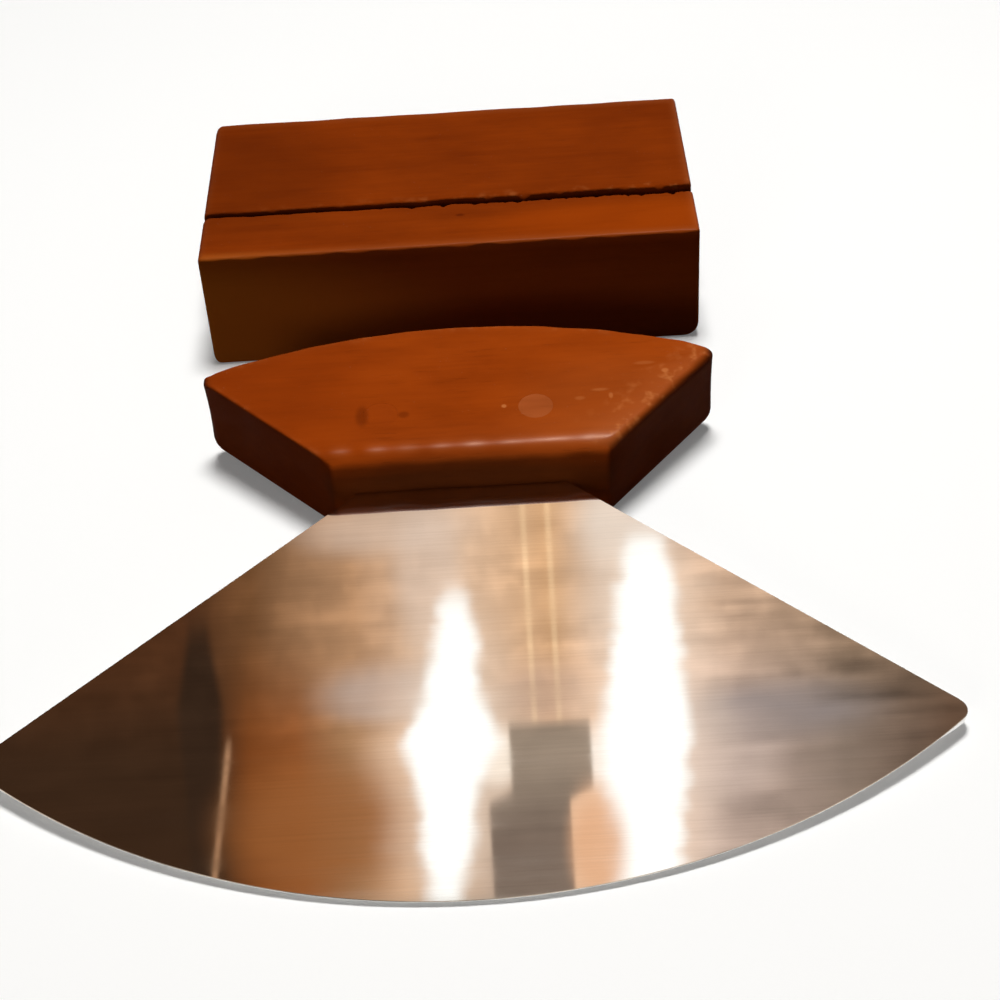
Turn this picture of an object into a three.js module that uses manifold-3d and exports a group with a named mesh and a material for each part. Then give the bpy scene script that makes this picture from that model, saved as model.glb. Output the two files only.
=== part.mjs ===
import * as THREE from 'three';
import { mergeVertices } from 'three/addons/utils/BufferGeometryUtils.js';
import Module from 'manifold-3d';

// An ulu knife lying flat in front of the slotted wood stand that it is kept in.
// Millimetres, +Z up, +X along the handle, +Y from the cutting edge towards the stand.
// The origin is the middle of the stand's base, on the surface that both lie on.

// Handle: a wood block with a straight foot, slanted ends and a curved crown
const handleLength = 123.9; // between the two end corners, before they are rounded
const handleThickness = 22.2; // from the back face, which lies down, to the top face
const footLength = 62.9; // the straight foot that the blade comes out of
const footOffset = 2.2; // the foot's middle lies this far to the right of the handle's
const endHeight = 31.7; // end corners above the foot
const crownRise = 12.7; // crown above the end corners
const endFaceRadius = 0.6; // radius of the end corners on the flat faces, inside the broken edges
const footFaceRadius = 1; // the same at the foot's corners
const footBevel = 3.5; // width and height of the bevel along the foot's top edge

// Blade: flat steel with straight sides and a round cutting edge
const bladeSpan = 206.7; // from tip to tip, before the tips are rounded
const bladeDrop = 71.4; // from the foot to the level of the tips
const edgeSagitta = 39; // the middle of the cutting edge, below the level of the tips
const bladeThickness = 1.6;
const tipRadius = 2.6;
const grindWidth = 2.9; // the edge is ground from the back face only
const edgeLand = 0.25; // steel left at the cutting edge

// Dowels: two wood pins through the handle and the tang
const dowelDiameter = 8;
const dowelSpacing = 35.8;
const dowelHeight = 15; // middle of the dowels above the foot
const tangMargin = 2.7; // steel left round the dowel holes, at the tang's sides and top

// Stand: a wood block with a slot that takes the cutting edge
const standLength = 125.4;
const standDepth = 65.9;
const standHeight = 32.5;
const standFaceRadius = 0.5; // radius of its corners on the flat faces, inside the broken edges
const slotSetback = 19.9; // from the front face to the middle of the slot
const slotFloor = 18.8; // wood left under the slot
const slotClearance = 0.6; // between the blade and each wall of the slot

// Layout on the table
const knifeGap = 25; // from the crown to the stand's front face
const knifeShift = 1.1; // the knife's middle lies this far to the right of the stand's

// Fits, edges and facets
const clearance = 0.3; // between pieces that are fitted to each other
const edgeEase = 1; // the edges of the wood are broken by this much
const cutMargin = 1; // how far a cut runs past the face that it opens
const mergeDistance = 1e-4; // corners closer than this are one corner
const curveSteps = 12;
const easeSteps = 2;
const dowelSides = 32;
const grindSides = 180;

// Sizes that follow from those above
const halfBlade = bladeThickness / 2;
const halfHandle = handleThickness / 2; // the blade lies in the middle of the handle
const crownHeight = endHeight + crownRise;
const tangWidth = dowelSpacing + dowelDiameter + 2 * tangMargin;
const tangTop = dowelHeight + dowelDiameter / 2 + tangMargin;
const slotWidth = bladeThickness + 2 * slotClearance;
const slotDepth = standHeight - slotFloor;
const bladeReach = bladeDrop + edgeSagitta;

// Lying down, the knife touches the table along the back edge of its foot and at the heel of the grind.
const restTilt = Math.atan2(halfHandle - halfBlade, bladeReach - grindWidth + edgeEase);
const footLift = halfHandle * Math.cos(restTilt) - edgeEase * Math.sin(restTilt);

const wood = new THREE.MeshStandardMaterial({ color: 0x8f4313, roughness: 0.35, metalness: 0 });
const standWood = new THREE.MeshStandardMaterial({ color: 0x86380c, roughness: 0.4, metalness: 0 });
const dowelWood = new THREE.MeshStandardMaterial({ color: 0xa2541f, roughness: 0.4, metalness: 0 });
const steel = new THREE.MeshStandardMaterial({ color: 0xd2ccc4, roughness: 0.15, metalness: 1 });

const wasm = await Module();
wasm.setup();

// A closed geometry as a solid: only its corners are kept, and those that coincide are merged.
function solidFrom(geometry) {
  geometry.deleteAttribute('normal');
  geometry.deleteAttribute('uv');
  const merged = mergeVertices(geometry, mergeDistance);
  const mesh = new wasm.Mesh({
    numProp: 3,
    vertProperties: Float32Array.from(merged.attributes.position.array),
    triVerts: Uint32Array.from(merged.index.array),
  });
  return new wasm.Manifold(mesh);
}

// The geometry of a body with the cutters taken out of it.
function cutFrom(body, cutters) {
  const solid = cutters.reduce((rest, cutter) => rest.subtract(solidFrom(cutter)), solidFrom(body));
  const { vertProperties, triVerts } = solid.getMesh();
  const geometry = new THREE.BufferGeometry();
  geometry.setAttribute('position', new THREE.BufferAttribute(vertProperties, 3));
  geometry.setIndex(new THREE.BufferAttribute(triVerts, 1));
  geometry.computeVertexNormals();
  return geometry;
}

function piece(name, geometry, material) {
  const mesh = new THREE.Mesh(geometry, material);
  mesh.name = name;
  return mesh;
}

// The radius of the arc that rises over a chord.
function arcRadius(chord, rise) {
  return (chord * chord / 4 + rise * rise) / (2 * rise);
}

// One side of an outline: a straight line between two corners, or an arc that rises outwards over it.
// leaves and returns are the directions in which it leads away from its first and its last corner.
// first and last give the point that lies a given distance along the side from that corner.
function sideBetween(from, to, rise) {
  const chord = to.distanceTo(from);
  const leaves = to.clone().sub(from).divideScalar(chord);
  if (!rise) {
    return {
      leaves,
      returns: leaves.clone().negate(),
      first: (distance) => from.clone().addScaledVector(leaves, distance),
      last: (distance) => to.clone().addScaledVector(leaves, -distance),
      draw: (shape, end) => shape.lineTo(end.x, end.y),
    };
  }
  const radius = arcRadius(chord, rise);
  const outwards = new THREE.Vector2(leaves.y, -leaves.x);
  const middle = from.clone().lerp(to, 0.5).addScaledVector(outwards, rise - radius);
  const firstAngle = from.clone().sub(middle).angle();
  const lastAngle = firstAngle + 2 * Math.asin(chord / 2 / radius);
  const at = (angle) => new THREE.Vector2(radius, 0).rotateAround(new THREE.Vector2(), angle).add(middle);
  return {
    leaves: new THREE.Vector2(-Math.sin(firstAngle), Math.cos(firstAngle)),
    returns: new THREE.Vector2(Math.sin(lastAngle), -Math.cos(lastAngle)),
    first: (distance) => at(firstAngle + distance / radius),
    last: (distance) => at(lastAngle - distance / radius),
    draw: (shape, end, startCut, endCut) => shape.absarc(
      middle.x, middle.y, radius, firstAngle + startCut / radius, lastAngle - endCut / radius, false),
  };
}

// How far a corner is cut back along both its sides for a curve that is nowhere tighter than a radius.
function cutBack(returns, leaves, radius) {
  const halfAngle = returns.angleTo(leaves) / 2;
  return radius * Math.cos(halfAngle) / Math.sin(halfAngle) ** 2;
}

// An anticlockwise outline from its corners: where each is, its radius, 0 where it is sharp, and the rise
// of the arc that leads from it to the next corner, 0 where that side is straight.
function outlineFrom(corners) {
  const count = corners.length;
  const sides = corners.map(
    ({ at, rise }, index) => sideBetween(at, corners[(index + 1) % count].at, rise));
  const cuts = corners.map(({ radius }, index) => {
    const before = sides[(index + count - 1) % count];
    return cutBack(before.returns, sides[index].leaves, radius);
  });
  const shape = new THREE.Shape();
  const start = sides[0].first(cuts[0]);
  shape.moveTo(start.x, start.y);
  sides.forEach((side, index) => {
    const next = (index + 1) % count;
    side.draw(shape, side.last(cuts[next]), cuts[index], cuts[next]);
    if (corners[next].radius > 0) {
      const corner = corners[next].at;
      const after = sides[next].first(cuts[next]);
      shape.quadraticCurveTo(corner.x, corner.y, after.x, after.y);
    }
  });
  return shape;
}

function corner(x, y, radius = 0, rise = 0) {
  return { at: new THREE.Vector2(x, y), radius, rise };
}

// A block of an outline with its edges broken, standing on z = 0.
function easedBlock(shape, height) {
  const geometry = new THREE.ExtrudeGeometry(shape, {
    depth: height - 2 * edgeEase,
    curveSegments: curveSteps,
    bevelSize: edgeEase,
    bevelOffset: -edgeEase,
    bevelThickness: edgeEase,
    bevelSegments: easeSteps,
  });
  return geometry.translate(0, 0, edgeEase);
}

// A round bar along Z through a dowel's place, from the handle's back face to its top face.
function dowelBar(side, radius, overrun) {
  const length = handleThickness + 2 * overrun;
  const bar = new THREE.CylinderGeometry(radius, radius, length, dowelSides);
  return bar.rotateX(Math.PI / 2).translate(side * dowelSpacing / 2, dowelHeight, 0);
}

const dowelHoles = () => [-1, 1].map((side) => dowelBar(side, dowelDiameter / 2 + clearance, cutMargin));

// Knife pieces: x along the handle, y from the foot to the crown, z = 0 in the blade's mid-plane
function handleOutline() {
  const footRadius = edgeEase + footFaceRadius;
  const endRadius = edgeEase + endFaceRadius;
  return outlineFrom([
    corner(footOffset - footLength / 2, 0, footRadius),
    corner(footOffset + footLength / 2, 0, footRadius),
    corner(handleLength / 2, endHeight, endRadius, crownRise),
    corner(-handleLength / 2, endHeight, endRadius),
  ]);
}

function handleBlock() {
  const block = easedBlock(handleOutline(), handleThickness).translate(0, 0, -halfHandle);

  const slotLength = tangTop + clearance + cutMargin;
  const tangSlot = new THREE.BoxGeometry(
    tangWidth + 2 * clearance, slotLength, bladeThickness + 2 * clearance);
  tangSlot.translate(0, slotLength / 2 - cutMargin, 0);

  const bevelBar = 3 * footBevel; // wider than the bevel, so that it takes the whole edge away
  const bevel = new THREE.BoxGeometry(2 * handleLength, bevelBar, bevelBar).rotateX(Math.PI / 4);
  const outwards = bevelBar / 2 * Math.SQRT1_2;
  bevel.translate(0, footBevel / 2 - outwards, halfHandle - footBevel / 2 + outwards);

  return cutFrom(block, [tangSlot, bevel, ...dowelHoles()]);
}

function bladeOutline() {
  const neck = -clearance; // where the sides run into the tang
  return outlineFrom([
    corner(-bladeSpan / 2, -bladeDrop, tipRadius, edgeSagitta),
    corner(bladeSpan / 2, -bladeDrop, tipRadius),
    corner(tangWidth / 2, neck),
    corner(tangWidth / 2, tangTop),
    corner(-tangWidth / 2, tangTop),
    corner(-tangWidth / 2, neck),
  ]);
}

// A ring round the middle of the edge's arc, whose sloping face is the ground face of the blade.
function grindRing() {
  const radius = arcRadius(bladeSpan, edgeSagitta);
  const slope = (bladeThickness - edgeLand) / grindWidth;
  const low = -halfBlade - cutMargin * slope;
  const high = halfBlade - edgeLand + cutMargin * slope;
  const inner = new THREE.Vector2(radius - grindWidth - cutMargin, low);
  const outerLow = new THREE.Vector2(radius + cutMargin, low);
  const outerHigh = new THREE.Vector2(radius + cutMargin, high);
  const ring = new THREE.LatheGeometry([inner, outerLow, outerHigh, inner], grindSides);
  return ring.rotateX(Math.PI / 2).translate(0, radius - bladeReach, 0);
}

function blade() {
  const plate = new THREE.ExtrudeGeometry(bladeOutline(), {
    depth: bladeThickness,
    curveSegments: curveSteps,
    bevelEnabled: false,
  });
  plate.translate(0, 0, -halfBlade);
  return cutFrom(plate, [grindRing(), ...dowelHoles()]);
}

// Stand: the middle of its base at the origin
function standOutline() {
  const radius = edgeEase + standFaceRadius;
  return outlineFrom([
    corner(-standLength / 2, -standDepth / 2, radius),
    corner(standLength / 2, -standDepth / 2, radius),
    corner(standLength / 2, standDepth / 2, radius),
    corner(-standLength / 2, standDepth / 2, radius),
  ]);
}

function standBlock() {
  const block = easedBlock(standOutline(), standHeight);
  const slot = new THREE.BoxGeometry(standLength + 2 * cutMargin, slotWidth, slotDepth + cutMargin);
  const slotMiddle = slotFloor + (slotDepth + cutMargin) / 2;
  slot.translate(0, slotSetback - standDepth / 2, slotMiddle);
  return cutFrom(block, [slot]);
}

const knife = new THREE.Group();
knife.add(piece('handle_block', handleBlock(), wood));
knife.add(piece('blade', blade(), steel));
knife.add(piece('dowel_left', dowelBar(-1, dowelDiameter / 2, 0), dowelWood));
knife.add(piece('dowel_right', dowelBar(1, dowelDiameter / 2, 0), dowelWood));
knife.rotation.x = restTilt;
knife.position.set(knifeShift, -standDepth / 2 - knifeGap - crownHeight * Math.cos(restTilt), footLift);

const ulu = new THREE.Group();
ulu.add(piece('stand_block', standBlock(), standWood));
ulu.add(knife);

export default ulu;
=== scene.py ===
import math

import bmesh
import bpy
import numpy as np
from mathutils import Matrix, Vector


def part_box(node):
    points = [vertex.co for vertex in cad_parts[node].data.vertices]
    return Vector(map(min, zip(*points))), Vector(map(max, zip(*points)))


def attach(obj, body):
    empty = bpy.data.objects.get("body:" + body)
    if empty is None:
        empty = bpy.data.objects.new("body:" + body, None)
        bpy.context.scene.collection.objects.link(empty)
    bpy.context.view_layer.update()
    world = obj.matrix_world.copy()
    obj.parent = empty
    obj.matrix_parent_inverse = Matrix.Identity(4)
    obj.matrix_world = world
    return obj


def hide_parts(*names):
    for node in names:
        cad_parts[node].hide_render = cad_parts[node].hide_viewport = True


# An ulu knife lying flat in front of the slotted wood stand that it is kept in.
# Metres, +Z up, +X along the handle, +Y from the cutting edge towards the stand.

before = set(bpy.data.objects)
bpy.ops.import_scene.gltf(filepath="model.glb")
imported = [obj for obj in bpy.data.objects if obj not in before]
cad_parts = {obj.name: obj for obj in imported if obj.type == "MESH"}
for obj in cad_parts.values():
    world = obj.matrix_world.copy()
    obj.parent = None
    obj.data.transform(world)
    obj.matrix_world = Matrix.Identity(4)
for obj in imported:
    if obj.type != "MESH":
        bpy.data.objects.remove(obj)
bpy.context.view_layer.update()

MM = 0.001

# Handle
HANDLE_LENGTH = 123.9 * MM  # between the two end corners, before they are rounded
HANDLE_THICKNESS = 22.2 * MM
FOOT_LENGTH = 62.9 * MM
FOOT_OFFSET = 2.2 * MM  # the foot's middle lies this far to the right of the handle's
END_HEIGHT = 31.7 * MM  # end corners above the foot
CROWN_RISE = 12.7 * MM  # crown above the end corners
END_RADIUS = 1.6 * MM
FOOT_RADIUS = 2 * MM
FOOT_BEVEL = 3.5 * MM
FACE_WAVE = 0.05 * MM  # hand-sanded hollows of the flat faces
OUTLINE_STEP = 0.7 * MM  # between the points of the handle's outline

# Blade
BLADE_SPAN = 206.7 * MM  # from tip to tip, before the tips are rounded
BLADE_DROP = 71.4 * MM  # from the foot to the level of the tips
EDGE_SAGITTA = 39 * MM  # the middle of the cutting edge, below the level of the tips
BLADE_THICKNESS = 1.6 * MM
TIP_RADIUS = 2.6 * MM
GRIND_WIDTH = 2.9 * MM
GRIND_START = 4 * MM  # the grind begins this far from the tips
GRIND_RUN_IN = 5 * MM  # and has its full width after this much more
EDGE_LAND = 0.25 * MM
BLADE_CHAMFER = 0.12 * MM

# Dowels and tang
DOWEL_DIAMETER = 8 * MM
DOWEL_HEIGHT = 15 * MM  # middle of the dowels above the foot
DOWEL_DOME = 0.02 * MM
DOWEL_RIM = 0.02 * MM  # the rims of the dowels are broken by this much
DOWEL_SINK = 0.03 * MM  # the dowels' upper rims lie this far below the handle's face
TANG_MARGIN = 2.7 * MM
CLEARANCE = 0.3 * MM
GLUE_GAP = 0.01 * MM  # between the wood and what is glued into it

# Stand
SLOT_SETBACK = 19.9 * MM  # from the front face to the middle of the slot
SLOT_FLOOR = 18.8 * MM
SLOT_CLEARANCE = 0.6 * MM
STAND_STEP = 0.4 * MM  # between the sections along the stand
STAND_LEFT_EASE = 1.9 * MM
STAND_RIGHT_EASE = 0.9 * MM
BASE_CORNER = 4 * MM  # radius of the base's right end, seen from the front

EDGE_EASE = 1 * MM  # the edges of the wood are broken by this much

# Where the knife lies
HALF_HANDLE = HANDLE_THICKNESS / 2
HALF_BLADE = BLADE_THICKNESS / 2
BLADE_REACH = BLADE_DROP + EDGE_SAGITTA
REST_TILT = math.atan2(HALF_HANDLE - HALF_BLADE, BLADE_REACH - GRIND_WIDTH + EDGE_EASE)


def box_middle(node):
    """The middle of a solid's box."""
    low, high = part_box(node)
    return np.array((low + high) / 2)


LEFT_DOWEL = box_middle("dowel_left")
RIGHT_DOWEL = box_middle("dowel_right")
DOWEL_SPACING = RIGHT_DOWEL[0] - LEFT_DOWEL[0]
TANG_WIDTH = DOWEL_SPACING + DOWEL_DIAMETER + 2 * TANG_MARGIN
TANG_TOP = DOWEL_HEIGHT + DOWEL_DIAMETER / 2 + TANG_MARGIN
KNIFE_TURN = np.array(Matrix.Rotation(REST_TILT, 3, "X"))
KNIFE_PLACE = (LEFT_DOWEL + RIGHT_DOWEL) / 2 - KNIFE_TURN @ np.array([0, DOWEL_HEIGHT, 0])


def on_knife(points):
    """Points given along the handle, from foot to crown and above the blade's mid-plane, where they lie."""
    return points @ KNIFE_TURN.T + KNIFE_PLACE


def ripple(along, wavelength, seed):
    """A smooth random wave, mostly within -1 to 1: the sum of six sines near one wavelength, seeded."""
    random = np.random.default_rng(seed)
    waves = wavelength * random.uniform(0.5, 1.8, 6)
    phases = random.uniform(0, 2 * np.pi, 6)
    return np.sin(2 * np.pi * along[..., None] / waves + phases).sum(-1) / 2.6


def hollows(x, y, wavelength, seed):
    """A smooth random relief over a plane, from 0 to about 1: sines that run in seeded directions."""
    random = np.random.default_rng(seed)
    total = np.zeros_like(x)
    for turn in random.uniform(0, np.pi, 5):
        total += ripple(x * np.cos(turn) + y * np.sin(turn), wavelength, random.integers(1000))
    return np.clip(0.5 + total / 6, 0, 1)


def side_between(start, end, rise):
    """A side's length and its point at a distance: a line, or an arc that rises outwards over the line."""
    chord = np.linalg.norm(end - start)
    ahead = (end - start) / chord
    if rise == 0:
        return chord, lambda distance: start + np.multiply.outer(distance, ahead)
    radius = (chord * chord / 4 + rise * rise) / (2 * rise)
    outwards = np.array([ahead[1], -ahead[0]])
    middle = (start + end) / 2 + outwards * (rise - radius)
    half_angle = np.arcsin(chord / 2 / radius)

    def at(distance):
        turn = np.asarray(distance) / radius - half_angle
        out = np.multiply.outer(np.cos(turn), outwards)
        on = np.multiply.outer(np.sin(turn), ahead)
        return middle + radius * (out + on)

    return 2 * half_angle * radius, at


def outline_from(corners, step):
    """A closed anticlockwise outline with rounded corners: its points, outward directions and side numbers.

    A corner is (x, y, radius, rise). The side that follows it is a line, or an arc where it has a rise.
    Each corner is a quadratic curve that starts and ends at the same distance from it along its two sides.
    """
    places = [np.array(corner[:2]) for corner in corners]
    count = len(corners)
    sides = [side_between(places[i], places[(i + 1) % count], corners[i][3]) for i in range(count)]
    nearby = 1e-5
    cuts = []
    for i in range(count):
        before_length, before = sides[i - 1]
        returns = before(before_length - nearby) - places[i]
        leaves = sides[i][1](nearby) - places[i]
        half_angle = np.arccos(returns @ leaves / np.linalg.norm(returns) / np.linalg.norm(leaves)) / 2
        cuts.append(corners[i][2] * np.cos(half_angle) / np.sin(half_angle) ** 2)
    points, numbers = [], []
    for i, (length, at) in enumerate(sides):
        ahead = (i + 1) % count
        run = length - cuts[i] - cuts[ahead]
        points.append(at(cuts[i] + run * np.linspace(0, 1, max(2, round(run / step)), endpoint=False)))
        start = at(length - cuts[ahead])
        end = sides[ahead][1](cuts[ahead])
        bend = np.linspace(0, 1, round(6 * cuts[ahead] / step), endpoint=False)[:, None]
        points.append((1 - bend) ** 2 * start + 2 * bend * (1 - bend) * places[ahead] + bend ** 2 * end)
        numbers += [i] * (len(points[-1]) + len(points[-2]))
    outline = np.concatenate(points)
    along = np.roll(outline, -1, 0) - np.roll(outline, 1, 0)
    outwards = np.stack([along[:, 1], -along[:, 0]], -1)
    return outline, outwards / np.linalg.norm(outwards, axis=1, keepdims=True), np.array(numbers)


def spread(values, reach):
    """Values round a closed outline, each averaged with its neighbours up to a reach."""
    return np.mean([np.roll(values, shift) for shift in range(-reach, reach + 1)], 0)


def ring_quads(rings, count):
    """The faces between closed rings of equally many points, ring after ring."""
    ring = np.arange(rings - 1)[:, None] * count
    here = np.arange(count)[None, :]
    ahead = (here + 1) % count
    corners = [ring + here, ring + count + here, ring + count + ahead, ring + ahead]
    return np.stack(corners, -1).reshape(-1, 4)


def rings_mesh(name, rings, first_cap, last_cap):
    """A closed mesh from rings of points. Each end is closed by a fan round a point or by one face."""
    rows, count = rings.shape[:2]
    points = rings.reshape(-1, 3)
    faces = ring_quads(rows, count).tolist()
    here = np.arange(count)
    ahead = (here + 1) % count
    last = (rows - 1) * count
    if first_cap is None:
        faces.append(here.tolist())
    else:
        hub = np.full(count, len(points))
        points = np.vstack([points, first_cap])
        faces += np.stack([hub, here, ahead], -1).tolist()
    if last_cap is None:
        faces.append((last + here)[::-1].tolist())
    else:
        hub = np.full(count, len(points))
        points = np.vstack([points, last_cap])
        faces += np.stack([hub, last + ahead, last + here], -1).tolist()
    mesh = bpy.data.meshes.new(name)
    mesh.from_pydata(points.tolist(), [], faces)
    mesh.validate()
    return mesh


def new_object(mesh):
    """A mesh as an object in the scene, with its place in its points."""
    made = bpy.data.objects.new(mesh.name, mesh)
    bpy.context.scene.collection.objects.link(made)
    return made


def keep_values(mesh, name, values):
    """Keeps one number for each point of a mesh, for its material to read."""
    attribute = mesh.attributes.new(name, "FLOAT", "POINT")
    attribute.data.foreach_set("value", values.astype(np.float32))


def cut_out(piece, cutters):
    """Takes the cutters out of a piece and removes them."""
    for cutter in cutters:
        cut = piece.modifiers.new("cut", "BOOLEAN")
        cut.operation = "DIFFERENCE"
        cut.solver = "EXACT"
        cut.object = cutter
    graph = bpy.context.evaluated_depsgraph_get()
    mesh = bpy.data.meshes.new_from_object(piece.evaluated_get(graph))
    whole = piece.data
    piece.modifiers.clear()
    piece.data = mesh
    mesh.name = whole.name
    bpy.data.meshes.remove(whole)
    for cutter in cutters:
        bpy.data.objects.remove(cutter)


def finish_piece(piece, body, node, material, sharp_angle):
    """Shades a piece, and puts it on its body in the place of its solid."""
    mesh = piece.data
    mesh.polygons.foreach_set("use_smooth", np.ones(len(mesh.polygons), bool))
    mesh.set_sharp_from_angle(angle=math.radians(sharp_angle))
    mesh.materials.clear()
    mesh.materials.append(material)
    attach(piece, body)
    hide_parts(node)


def round_bar(name, side, radius, low, high, dome, sides=64):
    """A round bar in a dowel's place: circles carried along its axis. A dome also gives it broken rims."""
    turn = np.linspace(0, 2 * np.pi, sides, endpoint=False)
    rim = DOWEL_RIM if dome else 0
    inner = np.array([0.25, 0.5, 0.75]) * (radius - rim)
    end = [(r, high + dome * (1 - (r / radius) ** 2)) for r in inner]
    end += [(radius - rim, high), (radius - 0.3 * rim, high - 0.3 * rim), (radius, high - rim)]
    bottom = [(r, low + high - z) for r, z in reversed(end)]
    profile = np.array(end + bottom)
    middle = side * DOWEL_SPACING / 2
    rings = np.stack([
        middle + np.multiply.outer(profile[:, 0], np.cos(turn)),
        DOWEL_HEIGHT + np.multiply.outer(profile[:, 0], np.sin(turn)),
        np.repeat(profile[:, 1:], sides, 1),
    ], -1)
    top = np.array([middle, DOWEL_HEIGHT, high + dome])
    under = np.array([middle, DOWEL_HEIGHT, low - dome])
    return rings_mesh(name, on_knife(rings), on_knife(top), on_knife(under))


def block(name, low, high):
    """A plain box between two corners on the knife."""
    x = np.array([low[0], high[0], high[0], low[0]])
    y = np.array([low[1], low[1], high[1], high[1]])
    rings = np.stack([np.stack([x, y, np.full(4, z)], -1) for z in (high[2], low[2])])
    return rings_mesh(name, on_knife(rings), None, None)


def dowel_cutters(radius):
    """Bars that cut the two dowel holes."""
    reach = HALF_HANDLE + 2 * MM
    return [new_object(round_bar("cutter", side, radius, -reach, reach, 0)) for side in (-1, 1)]


def make_handle():
    """The handle: rings that run out over the top face, over its edge, down the sides and in underneath.

    Each ring is the outline drawn in towards its middle by a share and set at a height. Over the edges, the
    two follow a quarter circle whose radius changes round the outline. The faces' rings shrink to a point.
    What then stands above the plane of the foot's bevel is pressed onto it with a rounded change.
    """
    outline, outwards, side = outline_from([
        (FOOT_OFFSET - FOOT_LENGTH / 2, 0, FOOT_RADIUS, 0),
        (FOOT_OFFSET + FOOT_LENGTH / 2, 0, FOOT_RADIUS, 0),
        (HANDLE_LENGTH / 2, END_HEIGHT, END_RADIUS, CROWN_RISE),
        (-HANDLE_LENGTH / 2, END_HEIGHT, END_RADIUS, 0),
    ], OUTLINE_STEP)
    place = np.arange(len(outline)) * OUTLINE_STEP
    middle = np.array([FOOT_OFFSET / 2, 0.5 * END_HEIGHT])
    spokes = outline - middle
    reach = (spokes * outwards).sum(1)
    # Lists of four are for the foot, the right side, the crown and the left side.
    edge_shares = [0.05, 0.055, 0.035, 0.02]
    drawn = spread(np.choose(side, edge_shares), 6) * (1 + 0.18 * ripple(place, 14 * MM, 3))
    under_drawn = EDGE_EASE / middle[1]
    worn = np.minimum(drawn * reach, 2 * MM)
    under_worn = under_drawn * reach
    turns = np.linspace(0, np.pi / 2, 8)
    inwards = 1 - np.sin(turns)
    downwards = 1 - np.cos(turns)
    shrinking = 1 - np.concatenate([np.arange(1, 20) * 0.02, np.linspace(0.4, 0.97, 14)])
    wall = np.concatenate([np.linspace(0.025, 0.3, 12), np.linspace(0.36, 0.97, 14)])

    over_plan = outline - np.multiply.outer(inwards, drawn)[:, :, None] * spokes
    over_height = HALF_HANDLE - np.multiply.outer(downwards, worn)
    below_plan = outline - np.multiply.outer(under_drawn * inwards[::-1], spokes)
    below_height = np.multiply.outer(downwards[::-1], under_worn) - HALF_HANDLE
    top_plan = middle + np.multiply.outer(shrinking[::-1], over_plan[0] - middle)
    top_height = np.full(top_plan.shape[:2], HALF_HANDLE)
    under_plan = middle + np.multiply.outer(shrinking, below_plan[-1] - middle)
    under_height = np.full(under_plan.shape[:2], -HALF_HANDLE)
    wall_start = HALF_HANDLE - worn
    wall_end = under_worn - HALF_HANDLE
    wall_height = wall_start + np.multiply.outer(wall, wall_end - wall_start)
    sway = 0.12 * MM * ripple(place, 35 * MM, 5) - 0.15 * MM
    fade = np.sin(np.pi * wall)[:, None]
    wall_plan = outline + outwards * (sway * fade)[:, :, None]

    plan = np.concatenate([top_plan, over_plan, wall_plan, below_plan, under_plan])
    height = np.concatenate([top_height, over_height, wall_height, below_height, under_height])
    away = np.linalg.norm(plan - outline, axis=2) * reach / np.linalg.norm(spokes, axis=1)
    facing_up = np.clip((height - wall_start) / worn, 0, 1)
    # Rubbed places: real wear on the right edge. Their lighter, speckled colour also paints the glints of
    # highlights there.
    rubbed_glint_reach = spread(np.choose(side, [1 * MM, 7 * MM, 1.5 * MM, 1 * MM]), 10)
    rubbed_glint_share = spread(np.choose(side, [0, 1, 0.3, 0.15]), 10)
    rubbed_and_glints = rubbed_glint_share * np.exp(-(away / rubbed_glint_reach) ** 2) * facing_up ** 2
    face = np.clip((np.abs(height) - HALF_HANDLE + 0.3 * MM) / (0.3 * MM), 0, 1)
    height = height - np.sign(height) * face * FACE_WAVE * hollows(plan[..., 0], plan[..., 1], 30 * MM, 7)

    along = plan[..., 0]
    above = (height - HALF_HANDLE + FOOT_BEVEL - plan[..., 1]) / math.sqrt(2)
    down_bevel = np.clip((HALF_HANDLE - height) / FOOT_BEVEL, 0, 1)
    softness = (0.75 + 0.7 * down_bevel) * (1 + 0.2 * ripple(along, 20 * MM, 11)) * MM
    pressed = softness * np.logaddexp(0, above / softness) / math.sqrt(2)
    # The lip's shine lowers roughness and adds coat. Through the glossy value it also lightens the colour
    # in the material: a painted highlight along the foot's lip, stronger to the right.
    to_right = np.clip(0.5 + along / FOOT_LENGTH, 0, 1)
    broken = 0.35 + 0.25 * ripple(along, 10 * MM, 12) + 0.65 * to_right
    narrow_shine = 0.75 * broken * np.exp(-(above / (1.3 * MM)) ** 2)
    broad_shine = 0.3 * to_right * np.exp(-(above / (5 * MM)) ** 2)
    glossy = np.clip(0.6 * rubbed_and_glints + (narrow_shine + broad_shine) * (1 - down_bevel) ** 2, 0, 1)
    rings = np.stack([along, plan[..., 1] + pressed, height - pressed], -1)
    top = np.array([middle[0], middle[1], rings[0, :, 2].mean()])
    under = np.array([middle[0], middle[1], rings[-1, :, 2].mean()])
    mesh = rings_mesh("handle_body", on_knife(rings), on_knife(top), on_knife(under))
    # The sides that face along X show end grain. Their darkening in the material is real end grain and also
    # painted shade on the sides.
    on_the_side = np.clip((HALF_HANDLE - np.abs(height)) / EDGE_EASE, 0, 1)
    end_grain_and_shade = outwards[:, 0] ** 2 * on_the_side
    for name, values in (("rubbed_and_glints", rubbed_and_glints), ("glossy", glossy), ("end_grain_and_shade", end_grain_and_shade)):
        keep_values(mesh, name, np.append(values.reshape(-1), [0, 0]))
    handle = new_object(mesh)
    slot_corner = np.array([TANG_WIDTH / 2, TANG_TOP, HALF_BLADE]) + GLUE_GAP
    tang_slot = block("cutter", slot_corner * [-1, 0, -1] - [0, 1 * MM, 0], slot_corner)
    cut_out(handle, [new_object(tang_slot), *dowel_cutters(DOWEL_DIAMETER / 2 + GLUE_GAP)])
    return handle


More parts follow.
